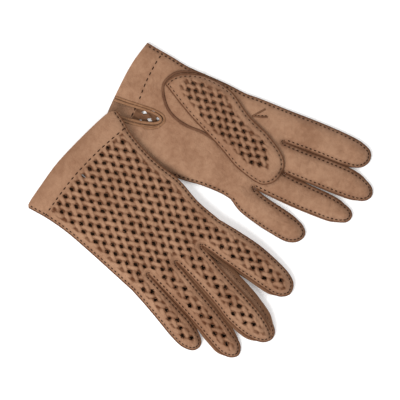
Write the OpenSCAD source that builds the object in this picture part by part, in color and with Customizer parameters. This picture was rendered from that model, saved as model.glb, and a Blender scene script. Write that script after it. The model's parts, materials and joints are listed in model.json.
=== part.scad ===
// A pair of unlined leather dress gloves with woven backs, lying one on the other.
// The left glove lies palm up on the surface with its thumb folded over the palm.
// The right glove lies back up across it, with its thumb folded under the palm.

/* [Leather] */
// Thickness of the glove leather
leather_t = 0.9; // [0.7:0.1:1.3]
// Thickness of the edge turned in at the cuff
hem_t = 0.5; // [0.3:0.1:0.8]
// Depth of the edge turned in at the cuff
hem_depth = 18; // [12:1:24]

/* [Hand] */
// Width across the cuff edge
cuff_w = 111; // [100:1:134]
// How far the corners of the cuff sit above its middle
cuff_rise = 6; // [3:0.5:9]
// Width of the hand beside the thumb
waist_w = 92; // [84:1:111]
// Distance of that width from the cuff edge
waist_y = 62; // [50:1:75]
// Distance from the cuff edge to the middle finger
hand_len = 157; // [130:1:189]
// Space between the palm and the back of the hand
hand_gap = 6; // [5:0.5:8]

/* [Fingers] */
// Width of the index finger
index_w = 26; // [21:0.5:32]
// Width of the middle finger
middle_w = 23.6; // [19:0.5:29]
// Width of the ring finger
ring_w = 21.6; // [18:0.5:26]
// Width of the little finger
pinky_w = 20; // [16:0.5:24]
// Length of the index finger
index_len = 74; // [60:1:89]
// Length of the middle finger
middle_len = 76; // [63:1:92]
// Length of the ring finger
ring_len = 67; // [55:1:81]
// Length of the little finger
pinky_len = 55; // [45:1:66]
// How far the index finger starts below the middle finger
index_drop = 11; // [5:1:16]
// How far the ring finger starts below the middle finger
ring_drop = 1; // [0:0.5:5]
// How far the little finger starts below the middle finger
pinky_drop = 19; // [12:1:26]
// Space between the front and the back of a finger
finger_gap = 8; // [6.5:0.5:10]
// Clearance between neighbouring fingers at their bases
finger_clear = 0.8; // [0.5:0.1:2]
// Clearance across each finger and thumb hinge line
hinge_clear = 0.3; // [0.3:0.1:1]

/* [Thumb] */
// Width of the thumb
thumb_w = 35; // [30:0.5:40]
// Length of the thumb past its hinge line
thumb_len = 70; // [58:1:72]
// Space between the front and the back of the thumb
thumb_gap = 5; // [4.5:0.5:6]
// Clearance between the folded thumb and the palm
thumb_clear = 0.8; // [0.5:0.1:1.2]
// Radius of the rounded base of the thumb on the palm
thumb_base_r = 21; // [17:0.5:23]
// Radius of the thumb hole in the palm
thumb_hole_r = 14; // [11:0.5:15]

/* [Woven back] */
// Width of one woven strip
strip_w = 4.2; // [3:0.1:5]
// Spacing of the strip crossings across the hand
weave_dx = 7.9; // [7:0.1:9.5]
// Spacing of the strip crossings along the hand
weave_dy = 6.4; // [5.6:0.1:7.6]
// Distance from the cuff edge to the woven area
weave_start = 23; // [19:0.5:28]
// Width of the plain border at the sides of the hand
border_w = 6.5; // [5:0.5:9]
// Width of the plain border on each side of a finger
finger_border_w = 6; // [4:0.5:7]
// Distance from the middle finger down to the plain leather between the fingers
slit_margin = 36; // [30:1:45]

/* [Wrist vent] */
// Length of the vent from the cuff edge
vent_len = 41; // [30:1:50]
// Width of the vent opening
vent_w = 8; // [6:0.5:10]
// Width of the piping around the vent
binding_w = 4.5; // [3:0.5:6]
// How far the piping stands proud of the palm
binding_proud = 0.4; // [0.2:0.1:0.6]

/* [Stitching] */
// Width of the seam thread
thread_w = 0.9; // [0.6:0.1:1.2]
// Height of the seam thread above the leather
thread_h = 0.4; // [0.2:0.1:0.6]
// Distance from the edge of the leather to the seam thread
seam_inset = 2.2; // [1.5:0.1:3]
// Length of one stitch in the cuff hem
hem_stitch_len = 3.2; // [2:0.1:4]
// Spacing of the stitches in the cuff hem
hem_stitch_pitch = 5.4; // [4.5:0.1:7]

/* [Lie of the pair] */
// Turn of the left glove against the right one
left_turn = 18.3; // [10:0.1:25]
// Sideways tilt of the right glove where it lies on the left one
right_roll = 3.2; // [2.5:0.1:3.5]
// Height of the index side of the right palm above the left palm
right_lift = 3.6; // [3.4:0.1:6]
// Height of the right fingertips above the surface
tip_clear = 0.4; // [0.3:0.1:1]

/* [Hidden] */
$fn = 48;
EPS = 0.01;
LEFT = 0;
RIGHT = 1;
SIDES = ["left", "right"];
INDEX = 0;
MIDDLE = 1;
RING = 2;
PINKY = 3;
FINGERS = ["index", "middle", "ring", "pinky"];

leather = "#9E775A";
leather_dark = "#86634A";
piping = "#8A6248";
thread = "#4A2C1E";

hand_total = hand_gap + 2 * leather_t;
finger_total = finger_gap + 2 * leather_t;
thumb_total = thumb_gap + 2 * leather_t;
weave_angle = atan(weave_dx / 2 / weave_dy);

// Per finger: width, length and distance below the middle finger's base
finger_w = [index_w, middle_w, ring_w, pinky_w];
finger_len = [index_len, middle_len, ring_len, pinky_len];
finger_drop = [index_drop, 0, ring_drop, pinky_drop];
// Sides that carry a fourchette strip: -1 index side, 1 little finger side
fourchette_sides = [[1], [-1, 1], [-1, 1], [-1]];
// Share of a finger's half width that its round tip takes
tip_share = 0.84;

// Per glove: how the knuckles sit to the side of the cuff's middle
knuckle_shift = [-2, 4.5];
waist_shift = [-3, 3];
// Per glove and finger: how far the finger leans towards the little finger
finger_lean = [[-1, 0, 0.6, 8.3], [-2.4, 4.6, 6.8, 7.6]];
// Per glove: the middle of the thumb's hinge line and the thumb's lean
thumb_at = [[-25.6, 83.5], [-19.5, 72]];
thumb_lean = [20.8, 5];
thumb_base_at = [-26, 57];
// Per glove: place of the middle of the cuff edge
glove_at = [[-3.3, -110.98], [58.8, -110.68]];
vent_x = 4.5;
vent_r = vent_w / 2;

// Height of each finger's palm face against the palm of its glove
finger_z = [hand_total - finger_total, 0];

function sum_to(list, n) = n < 0 ? 0 : list[n] + sum_to(list, n - 1);
knuckle_w = sum_to(finger_w, 3) + 3 * finger_clear;
function finger_x(side, f) =
    knuckle_shift[side] - knuckle_w / 2 + sum_to(finger_w, f - 1) + f * finger_clear + finger_w[f] / 2;
function finger_y(f) = hand_len - finger_drop[f];
function turned(p, a) = [p[0] * cos(a) + p[1] * sin(a), -p[0] * sin(a) + p[1] * cos(a)];
// A point given in a finger's own plane, in the plane of the hand
function on_finger(side, f, p) = [finger_x(side, f), finger_y(f)] + turned(p, finger_lean[side][f]);

palm_height = hand_total + right_lift;
function right_base_z(f) =
    palm_height - (finger_x(RIGHT, f) - finger_x(RIGHT, INDEX) + index_w / 2) * sin(right_roll);
function finger_pitch(side, f) =
    side == LEFT ? 0
    : asin((right_base_z(f) - tip_clear - finger_w[f] / 2 * sin(right_roll)) / finger_len[f]);

NODES = [
    for (side = SIDES) each [
        for (piece = ["hand_back", "hand_lattice", "hand_palm", "vent_binding", "hand_stitches"])
            str(side, "_", piece),
        for (piece = ["base", "back", "lattice", "palm", "stitches"]) str(side, "_thumb_", piece),
        for (finger = FINGERS)
            for (piece = ["back", "lattice", "palm", "fourchette", "stitches"])
                str(side, "_", finger, "_", piece)
    ]
];
node = "all";

// ---- places ----

// Puts a glove drawn palm down at the origin where it lies
module lie(side) {
    translate([glove_at[side][0], glove_at[side][1], 0])
        if (side == LEFT) {
            rotate([0, 0, left_turn]) translate([0, 0, hand_total]) mirror([0, 0, 1]) children();
        } else {
            edge = finger_x(RIGHT, INDEX) - index_w / 2;
            translate([edge, 0, palm_height]) rotate([0, right_roll, 0]) translate([-edge, 0, 0])
                children();
        }
}

// Puts a finger drawn along Y at the end of the hand
module on_hand(side, f) {
    translate([finger_x(side, f), finger_y(f), finger_z[side]])
        rotate([0, 0, -finger_lean[side][f]])
            rotate([-finger_pitch(side, f), 0, 0])
                children();
}

// Turns the thumb drawn along Y over the palm, with its back outwards
module on_palm(side) {
    translate([thumb_at[side][0], thumb_at[side][1], -thumb_clear])
        rotate([0, 0, -thumb_lean[side]])
            mirror([0, 0, 1])
                children();
}

// ---- outlines ----

// A finger's outline, drawn in by an inset and started at a given distance
module finger_plan(w, len, inset, start) {
    r = w / 2 * tip_share;
    translate([0, len - r]) circle(r = r - inset);
    polygon([
        [-w / 2 + inset, start],
        [w / 2 - inset, start],
        [r - inset, len - r],
        [-r + inset, len - r]
    ]);
}

// The woven window of a finger, inside its plain border
module finger_window(w, len) {
    band = w / 2 - finger_border_w;
    tip_y = len - w / 2 - finger_border_w / 2;
    translate([0, tip_y]) circle(r = band * 0.8);
    polygon([[-band, 4], [band, 4], [band * 0.8, tip_y], [-band * 0.8, tip_y]]);
}

// Both families of crossing strips over a field of the given size
module strips(half_w, y0, y1) {
    reach = half_w + (y1 - y0) * tan(weave_angle) / 2;
    count = ceil(reach / weave_dx);
    strip_len = (y1 - y0) / cos(weave_angle) + 2 * weave_dx;
    for (turn = [-weave_angle, weave_angle])
        for (i = [-count:count])
            translate([i * weave_dx, (y0 + y1) / 2])
                rotate([0, 0, turn])
                    square([strip_w, strip_len], center = true);
}

// Corner points along the finger bases, from the index side to the little finger side
function top_points(side, rise) = [
    for (f = [INDEX:PINKY]) each [
        on_finger(side, f, [-finger_w[f] / 2, -hinge_clear + rise]),
        on_finger(side, f, [finger_w[f] / 2, -hinge_clear + rise])
    ]
];
function cuff_y(x) = cuff_rise * pow(2 * x / cuff_w, 2);

// The hand's outline; its sides move in by the inset, its ends out by the overrun
module hand_plan(side, inset = 0, overrun = 0) {
    shift = waist_shift[side];
    tops = top_points(side, overrun);
    last = len(tops) - 1;
    polygon([
        for (k = [-4:4]) let (x = k / 4 * (cuff_w / 2 - inset)) [x, cuff_y(x) - overrun],
        [waist_w / 2 + shift - inset, waist_y],
        tops[last] - [inset, 0],
        for (k = [last - 1:-1:1]) tops[k],
        tops[0] + [inset, 0],
        [-waist_w / 2 + shift + inset, waist_y]
    ]);
}

// The woven window of the hand, with a band that runs up to each finger
module hand_window(side) {
    slit_y = hand_len - slit_margin;
    left_x = -waist_w / 2 + waist_shift[side] + border_w;
    right_x = waist_w / 2 + waist_shift[side] - border_w;
    polygon([[left_x, weave_start], [right_x, weave_start], [right_x, slit_y - 8], [left_x, slit_y]]);
    for (f = [INDEX:PINKY]) {
        band = finger_w[f] / 2 - finger_border_w;
        polygon([
            on_finger(side, f, [-band, slit_y - finger_y(f) - 10]),
            on_finger(side, f, [band, slit_y - finger_y(f) - 10]),
            on_finger(side, f, [band, -4]),
            on_finger(side, f, [-band, -4])
        ]);
    }
}

module vent_plan(grow) {
    translate([vent_x, vent_len - vent_r - binding_w]) circle(r = vent_r + grow);
    translate([vent_x - vent_r - grow, -cuff_rise])
        square([2 * (vent_r + grow), vent_len - vent_r - binding_w + cuff_rise]);
}

// ---- hand ----

module hand_back(side) {
    color(leather) lie(side) {
        translate([0, 0, leather_t + hand_gap])
            linear_extrude(leather_t) difference() {
                hand_plan(side);
                hand_window(side);
            }
        translate([0, 0, leather_t + hand_gap - hem_t])
            linear_extrude(hem_t + EPS) hem_plan(side);
    }
}

// The edge turned in at the cuff, inside the side walls
module hem_plan(side) {
    intersection() {
        hand_plan(side);
        hand_plan(side, leather_t, hand_gap);
        translate([-cuff_w / 2, -cuff_rise]) square([cuff_w, hem_depth + cuff_rise]);
    }
}

module hand_lattice(side) {
    color(leather) lie(side)
        translate([0, 0, leather_t + hand_gap])
            linear_extrude(leather_t) intersection() {
                hand_window(side);
                strips(cuff_w / 2, weave_start, hand_len);
            }
}

// Palm with the side walls, the thumb hole and the wrist vent
module hand_palm(side) {
    color(leather) lie(side) {
        linear_extrude(leather_t) difference() {
            hand_plan(side);
            translate(thumb_base_at) circle(r = thumb_hole_r);
            vent_plan(binding_w);
        }
        linear_extrude(leather_t + hand_gap) difference() {
            hand_plan(side);
            hand_plan(side, leather_t, hand_gap);
        }
        translate([0, 0, leather_t - EPS])
            linear_extrude(hem_t + EPS) difference() {
                hem_plan(side);
                vent_plan(binding_w);
            }
    }
}

module vent_binding(side) {
    color(piping) lie(side)
        translate([0, 0, -binding_proud])
            linear_extrude(leather_t + 2 * binding_proud) intersection() {
                difference() {
                    vent_plan(binding_w);
                    vent_plan(0);
                }
                translate([-cuff_w / 2, 0]) square([cuff_w, hand_len]);
            }
}

// Height of the stitched face: the one that lies upwards
function face_z(side, total) = side == LEFT ? -thread_h : total;

// Running stitches in the cuff hem and the thread of both side seams
module hand_stitches(side) {
    row_w = cuff_w / 2 - 2 * border_w;
    count = floor(row_w / hem_stitch_pitch);
    color(thread) lie(side)
        translate([0, 0, face_z(side, hand_total)]) {
            for (k = [-count:count]) {
                x = k * hem_stitch_pitch;
                clear_of_vent = abs(x - vent_x) > vent_r + binding_w + hem_stitch_len;
                if (side == RIGHT || clear_of_vent)
                    translate([x, hem_depth - thread_w + cuff_y(x) / 2, thread_h / 2])
                        cube([hem_stitch_len, thread_w, thread_h], center = true);
            }
            linear_extrude(thread_h) intersection() {
                difference() {
                    hand_plan(side, seam_inset, -1);
                    hand_plan(side, seam_inset + thread_w, 1);
                }
                translate([-cuff_w, cuff_rise + 1]) square([2 * cuff_w, hand_len]);
            }
        }
}

// ---- fingers ----

module finger_back(side, f) {
    color(leather) lie(side) on_hand(side, f)
        translate([0, 0, leather_t + finger_gap])
            linear_extrude(leather_t) difference() {
                finger_plan(finger_w[f], finger_len[f], 0, 0);
                finger_window(finger_w[f], finger_len[f]);
            }
}

module finger_lattice(side, f) {
    color(leather) lie(side) on_hand(side, f)
        translate([0, 0, leather_t + finger_gap])
            linear_extrude(leather_t) intersection() {
                finger_window(finger_w[f], finger_len[f]);
                strips(finger_w[f] / 2, 0, finger_len[f]);
            }
}

// The strip of a finger's side that its fourchette fills
module fourchette_plan(f, s) {
    w = finger_w[f];
    r = w / 2 * tip_share;
    intersection() {
        difference() {
            finger_plan(w, finger_len[f], 0, 0);
            finger_plan(w, finger_len[f], leather_t, -1);
        }
        translate([s * w / 2 - w / 4, 0]) square([w / 2, finger_len[f] - r]);
    }
}

module finger_palm(side, f) {
    w = finger_w[f];
    color(leather_dark) lie(side) on_hand(side, f) {
        linear_extrude(leather_t) finger_plan(w, finger_len[f], 0, 0);
        linear_extrude(leather_t + finger_gap) difference() {
            finger_plan(w, finger_len[f], 0, 0);
            finger_plan(w, finger_len[f], leather_t, -1);
            for (s = fourchette_sides[f])
                translate([s * w / 2 - w / 4, -1])
                    square([w / 2, 1 + finger_len[f] - w / 2 * tip_share]);
        }
    }
}

module finger_fourchette(side, f) {
    color(leather_dark) lie(side) on_hand(side, f)
        translate([0, 0, leather_t])
            linear_extrude(finger_gap)
                for (s = fourchette_sides[f]) fourchette_plan(f, s);
}

module seam_thread(w, len) {
    linear_extrude(thread_h) difference() {
        finger_plan(w, len, seam_inset, 1);
        finger_plan(w, len, seam_inset + thread_w, 0);
    }
}

module finger_stitches(side, f) {
    color(thread) lie(side) on_hand(side, f)
        translate([0, 0, face_z(side, finger_total)])
            seam_thread(finger_w[f], finger_len[f]);
}

// ---- thumb ----

// Rounded base of the thumb, sewn over the thumb hole as far as the hinge line
module thumb_base(side) {
    color(leather) lie(side)
        translate([0, 0, -leather_t])
            linear_extrude(leather_t) difference() {
                intersection() {
                    hand_plan(side, seam_inset + thread_w);
                    union() {
                        translate(thumb_base_at) circle(r = thumb_base_r);
                        translate(thumb_at[side]) rotate([0, 0, -thumb_lean[side]])
                            translate([-thumb_w / 2, -thumb_base_r]) square([thumb_w, thumb_base_r]);
                    }
                }
                translate(thumb_at[side]) rotate([0, 0, -thumb_lean[side]])
                    translate([-thumb_w, -hinge_clear]) square(2 * thumb_w);
            }
}

module thumb_back(side) {
    color(leather) lie(side) on_palm(side)
        translate([0, 0, leather_t + thumb_gap])
            linear_extrude(leather_t) difference() {
                finger_plan(thumb_w, thumb_len, 0, 0);
                finger_window(thumb_w, thumb_len);
            }
}

module thumb_lattice(side) {
    color(leather) lie(side) on_palm(side)
        translate([0, 0, leather_t + thumb_gap])
            linear_extrude(leather_t) intersection() {
                finger_window(thumb_w, thumb_len);
                strips(thumb_w / 2, 0, thumb_len);
            }
}

module thumb_palm(side) {
    color(leather_dark) lie(side) on_palm(side) {
        linear_extrude(leather_t) finger_plan(thumb_w, thumb_len, 0, 0);
        linear_extrude(leather_t + thumb_gap) difference() {
            finger_plan(thumb_w, thumb_len, 0, 0);
            finger_plan(thumb_w, thumb_len, leather_t, -1);
        }
    }
}

module thumb_stitches(side) {
    color(thread) lie(side) on_palm(side)
        translate([0, 0, side == LEFT ? thumb_total : -thread_h])
            seam_thread(thumb_w, thumb_len);
}

// ---- assembly ----

function wanted(side, piece) = node == "all" || node == str(SIDES[side], "_", piece);
for (side = [LEFT, RIGHT]) {
    if (wanted(side, "hand_back")) hand_back(side);
    if (wanted(side, "hand_lattice")) hand_lattice(side);
    if (wanted(side, "hand_palm")) hand_palm(side);
    if (wanted(side, "vent_binding")) vent_binding(side);
    if (wanted(side, "hand_stitches")) hand_stitches(side);
    if (wanted(side, "thumb_base")) thumb_base(side);
    if (wanted(side, "thumb_back")) thumb_back(side);
    if (wanted(side, "thumb_lattice")) thumb_lattice(side);
    if (wanted(side, "thumb_palm")) thumb_palm(side);
    if (wanted(side, "thumb_stitches")) thumb_stitches(side);
    for (f = [INDEX:PINKY]) {
        if (wanted(side, str(FINGERS[f], "_back"))) finger_back(side, f);
        if (wanted(side, str(FINGERS[f], "_lattice"))) finger_lattice(side, f);
        if (wanted(side, str(FINGERS[f], "_palm"))) finger_palm(side, f);
        if (wanted(side, str(FINGERS[f], "_fourchette"))) finger_fourchette(side, f);
        if (wanted(side, str(FINGERS[f], "_stitches"))) finger_stitches(side, f);
    }
}
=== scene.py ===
"""A pair of hand-sewn leather gloves with woven backs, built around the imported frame."""

import json
import math

import bmesh
import bpy
import numpy as np
from mathutils import Matrix, Vector, noise
from mathutils.kdtree import KDTree


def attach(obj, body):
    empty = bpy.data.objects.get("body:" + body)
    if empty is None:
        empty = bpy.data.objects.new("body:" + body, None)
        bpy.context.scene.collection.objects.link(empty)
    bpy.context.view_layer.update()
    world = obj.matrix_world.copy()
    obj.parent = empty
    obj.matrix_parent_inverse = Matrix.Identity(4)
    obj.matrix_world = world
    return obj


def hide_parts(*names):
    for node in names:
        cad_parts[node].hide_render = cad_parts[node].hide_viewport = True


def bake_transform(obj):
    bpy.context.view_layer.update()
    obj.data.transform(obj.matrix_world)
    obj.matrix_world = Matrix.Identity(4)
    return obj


bl_info = {
    "name": "Woven leather gloves",
    "version": (1, 0, 0),
    "blender": (4, 5, 0),
    "location": "View3D > Sidebar > Gloves",
    "description": "Builds a pair of hand-sewn leather gloves with woven backs",
    "category": "Object",
}

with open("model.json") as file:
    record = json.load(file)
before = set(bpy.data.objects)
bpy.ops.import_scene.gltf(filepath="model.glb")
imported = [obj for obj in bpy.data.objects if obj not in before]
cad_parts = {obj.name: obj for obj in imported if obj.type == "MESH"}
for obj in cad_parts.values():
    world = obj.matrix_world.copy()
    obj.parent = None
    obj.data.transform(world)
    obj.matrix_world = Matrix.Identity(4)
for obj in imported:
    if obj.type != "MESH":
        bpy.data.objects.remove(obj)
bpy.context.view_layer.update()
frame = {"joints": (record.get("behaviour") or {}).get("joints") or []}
MM = 0.001
JOINTS = {joint["name"]: joint for joint in frame["joints"]}
SIDES = ("left", "right")
FINGERS = ("index", "middle", "ring", "pinky")

# ---------------------------------------------------------------- patterns
# Each glove's pattern in millimetres, in its own plane: X from the index side to the little
# finger side, Y from the cuff to the fingertips. Both gloves are drawn as seen from above.
# A finger's line runs up its index side, round the tip and down the other side.

PATTERN = {
    "right": {
        "cuff": [(-55.8, 6.7), (-48.8, 2.2), (-25, -0.5), (9.5, -2), (35, 0.2), (52, 2.4), (55.8, 5)],
        "little_side": [(55.8, 5), (52, 23), (49.8, 43), (49.5, 65), (49.8, 90), (50.3, 117)],
        "index_side": [(-43.8, 133), (-43.5, 110), (-46.3, 90), (-46.6, 80), (-45.5, 62), (-46.8, 43),
                       (-49.3, 28), (-53, 17), (-55.8, 6.7)],
        "index": [(-43.8, 133), (-45.5, 142), (-48, 157), (-50, 173), (-50.2, 190), (-48.8, 207),
                  (-44.5, 216.8), (-36.3, 220.3), (-29.6, 216.5), (-26.3, 210), (-24.7, 200), (-23, 185),
                  (-21.3, 173), (-19.9, 160), (-18.6, 146), (-17.2, 137)],
        "middle": [(-17.2, 137), (-17.6, 150), (-18.6, 167), (-17.2, 182), (-15.2, 198), (-12.2, 212),
                   (-8.8, 223), (-4, 231.3), (2.2, 234), (8.6, 231.5), (12.8, 225), (15.7, 213),
                   (15.6, 194), (12.8, 180), (10.2, 162), (8.6, 146), (7.5, 130)],
        "ring": [(7.5, 130), (10.2, 146), (12.8, 163), (15, 178), (18, 194), (20.8, 206), (23.9, 216.5),
                 (31.2, 221.7), (37.8, 218), (40.7, 209), (39.5, 196), (37, 180), (35, 163), (33, 143),
                 (31, 119)],
        "pinky": [(31, 119), (33.5, 141), (35.2, 157), (37.2, 173), (41.8, 187.5), (48, 192.2),
                  (54.8, 189.5), (58.3, 180), (57.6, 167), (54.6, 149), (51.9, 131), (50.3, 117)],
        "hem": [(-49, 21.5), (-32, 19), (-15.5, 17.2), (8, 16.3), (26, 17.2), (41, 18.7), (51, 19.9)],
    },
    "left": {
        "cuff": [(-55.4, 6.2), (-49.6, 4.5), (-39.6, 2), (-29.6, 0.3), (-16.3, -0.8), (0.4, -1.7),
                 (13.7, -1.7), (30, -0.6), (44, 1.8), (51, 4.6)],
        "little_side": [(51, 4.6), (46.6, 22), (43, 45), (40.4, 79.5), (38.4, 96), (38.2, 113),
                        (39.5, 123)],
        "index_side": [(-49.4, 136), (-49, 113), (-48.3, 99.5), (-49.6, 79.5), (-49.9, 49.5),
                       (-50.9, 39.5), (-52.4, 30), (-54, 16), (-55.4, 6.2)],
        "index": [(-49.4, 136), (-49.7, 147), (-50.2, 162), (-50.4, 179.5), (-49.9, 196), (-48.6, 207),
                  (-44.6, 216.6), (-36.9, 219.5), (-29.6, 216), (-25.8, 208), (-24.7, 196), (-24.5, 179.5),
                  (-23.8, 163), (-22.9, 146)],
        "middle": [(-22.9, 146), (-22.9, 163), (-23.6, 180), (-23.9, 196), (-23.6, 209), (-21.4, 220.5),
                   (-16.8, 229.6), (-10.4, 232.7), (-4.4, 229.6), (-1, 221), (0.3, 204.5), (0.8, 179.5),
                   (1.1, 166), (1.2, 156)],
        "ring": [(1.2, 156), (1.9, 166), (2.6, 179.5), (3.2, 199), (5, 212.5), (8.4, 221.3), (13.7, 224),
                 (19.6, 220.9), (23.2, 210), (24.2, 196), (24.5, 179.5), (24.2, 163), (23.5, 148),
                 (22.9, 138)],
        "pinky": [(22.9, 138), (26, 147), (28.7, 159.5), (31.2, 173), (35, 186.8), (42, 193.3),
                  (50, 190.4), (54.3, 181), (53, 166), (50.4, 151), (46, 134.5), (39.5, 123)],
        "hem": [(-49.8, 20.9), (-42.9, 19.5), (-29.6, 18.3), (-19.6, 18.1), (-6, 18.6), (10, 18.2),
                (26, 18.4), (37, 19.4), (46, 20.8)],
    },
}
# The free edge of the right middle finger's back, where its wide fourchette shows beside it
OPEN_FOURCHETTE = [(-17.2, 137), (-15.6, 147), (-13.6, 160), (-11.6, 176), (-9.8, 194), (-7.6, 210),
                   (-4.6, 222), (-1.4, 229.5), (2.2, 234)]
# The thumb as it lies on the left palm: a leaf that runs up from the wrist, and the rounded
# edge of its base, sewn to the palm
THUMB_LEAF = [(-28.8, 33.5), (-36.5, 37), (-43.5, 45.5), (-47.5, 57), (-48.5, 68), (-47.4, 79.5),
              (-44.6, 89.5), (-38.4, 99.5), (-31.3, 111), (-24.6, 128), (-19.6, 138), (-14.6, 146),
              (-7.9, 152.3), (1.2, 154.8), (11.6, 151.5), (17.2, 144.5), (17.9, 138.5), (16.2, 129.5),
              (12.1, 116), (5.4, 103), (-0.4, 91), (-5.4, 79.5), (-11.3, 66), (-17.9, 53), (-24.6, 41)]
THUMB_BASE = [(-1.6, 91), (-3.4, 79), (-3.3, 66), (-4.8, 56), (-8.8, 46.4), (-16.3, 38.4), (-26, 33),
              (-33, 33.4), (-41.5, 39), (-47, 50), (-49, 62)]
# The wrist vent: the edge of the palm leather under the piping
THUMB_WINDOW = [(-41, 51), (-41, 82), (-30, 95.5), (-25, 105), (-20, 116), (-16, 130), (-8, 137),
                (3.4, 141), (4.2, 126), (2.1, 117), (-2.1, 108), (-7.1, 93.5), (-11.3, 83.5), (-17.1, 72),
                (-22.1, 63.5), (-27.9, 52), (-33, 47)]
VENT = [(-3, -6), (-3.3, 8), (-3.9, 23), (-4.6, 34), (-3.4, 41), (0.6, 44), (5.2, 41.8), (8.8, 34.5),
        (11.2, 23), (12.3, 12), (14, -6)]

# The two rows of piping round the vent, and the lap where the outer row's ends meet
PIPING = {
    "inner": [(0.4, -0.9), (-0.4, 10), (-1.9, 24), (-2.4, 34), (-1.2, 40.6), (1.8, 42.4), (5.4, 38.6),
              (8.0, 31), (10.0, 22), (11.6, 12), (13.6, -0.9)],
    "outer": [(-2.3, -0.7), (-2.9, 10), (-4.2, 24), (-4.8, 35), (-3.3, 42.8), (1.2, 45.4), (6.8, 41.8),
              (10.5, 33.5), (12.7, 23), (14.3, 12), (16.4, -0.8)],
    "lap": [(6.2, 43.6), (10.2, 37.8), (12.2, 31.5)],
}

# How much finer the thumb is woven than the hand
THUMB_WEAVE = 0.92

# Heights above the palm plane of a glove, in millimetres
FLAT_Z = {"left": 1.0, "right": 0.3}
SEAM_LOW_Z = 1.0
HAND_TOP_Z = 7.4
FINGER_TOP_Z = 9.1
FLANGE = 2.4


# ---------------------------------------------------------------- places

def hinge(side, finger):
    """A digit's hinge point in metres and its axis, from the frame."""
    joint = JOINTS[f"{side}_{finger}_{'lift' if finger == 'thumb' else 'flex'}"]
    return Vector(joint["pos_m"]), Vector(joint["axis"])


# Where the middle finger's hinge lies in each glove's pattern, in millimetres
MIDDLE_BASE = {"left": Vector((-10.2, 157)), "right": Vector((-3.7, 157))}


def glove_turn(side):
    """How far a glove's pattern is turned about Z."""
    if side == "right":
        return 0.0
    axis = hinge(side, "middle")[1]
    return math.atan2(axis.y, axis.x)


def lie(side):
    """The turn and the place, in millimetres, that lay a glove's pattern on the table."""
    turn = glove_turn(side)
    c, s = math.cos(turn), math.sin(turn)
    spin = np.array([[c, -s], [s, c]])
    return spin, np.array(hinge(side, "middle")[0].xy) / MM - spin @ np.array(MIDDLE_BASE[side])


def on_table(side, xy):
    """Pattern points in millimetres, moved to where the glove lies, in millimetres."""
    spin, at = lie(side)
    return np.atleast_2d(xy) @ spin.T + at


def to_pattern(side, point):
    """A frame point in metres, in the glove's pattern, in millimetres."""
    spin, at = lie(side)
    return (np.array(point)[:2] / MM - at) @ spin


def thumb_way(side):
    """The direction from the thumb's hinge to its tip."""
    axis = hinge(side, "thumb")[1]
    way = Vector((-axis.y, axis.x, 0)) if side == "left" else Vector((axis.y, -axis.x, 0))
    return way.normalized()


def thumb_turn(side):
    """The thumb's direction in its glove's pattern, as an angle."""
    way = thumb_way(side)
    return math.atan2(way.y, way.x) - glove_turn(side)


def thumb_points(side, points):
    """Points of the left thumb's drawing, in the pattern of either glove."""
    turn = thumb_turn(side) - thumb_turn("left")
    c, s = math.cos(turn), math.sin(turn)
    middle = {k: to_pattern(k, hinge(k, "thumb")[0]) for k in SIDES}
    return (np.array(points, float) - middle["left"]) @ np.array([[c, s], [-s, c]]) + middle[side]


def quirk_points(side, points):
    """Points of the quirk, kept inside the side seam on the right glove."""
    return thumb_points(side, points) + (np.array((3.0, 0.0)) if side == "right" else 0.0)


def ease(t):
    t = np.clip(t, 0.0, 1.0)
    return t * t * (3 - 2 * t)


def smooth_line(points, step=1.0):
    """An open curve through the points, as points about a step apart."""
    p = [Vector(q) for q in points]
    p = [2 * p[0] - p[1]] + p + [2 * p[-1] - p[-2]]
    out = []
    for a, b, c, d in zip(p, p[1:], p[2:], p[3:]):
        count = max(1, round((c - b).length / step))
        for k in range(count):
            t = k / count
            out.append(0.5 * (2 * b + (c - a) * t + (2 * a - 5 * b + 4 * c - d) * t * t
                              + (3 * b - a - 3 * c + d) * t ** 3))
    out.append(p[-2])
    return np.array([tuple(q) for q in out])


def inside(points, loop):
    """Which of the points lie inside the closed loop."""
    x, y = points[:, 0][:, None], points[:, 1][:, None]
    x0, y0 = loop[:, 0], loop[:, 1]
    x1, y1 = np.roll(x0, -1), np.roll(y0, -1)
    rising = (y0 > y) != (y1 > y)
    with np.errstate(divide="ignore", invalid="ignore"):
        cross = x < (x1 - x0) * (y - y0) / (y1 - y0) + x0
    return (np.sum(rising & cross, axis=1) % 2) == 1


def nearest(points, samples):
    """Distance to, and index of, the nearest sample for each point."""
    tree = KDTree(len(samples))
    for i, (x, y) in enumerate(samples):
        tree.insert((x, y, 0.0), i)
    tree.balance()
    found = [tree.find((x, y, 0.0)) for x, y in points]
    return np.array([f[2] for f in found]), np.array([f[1] for f in found])


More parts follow.
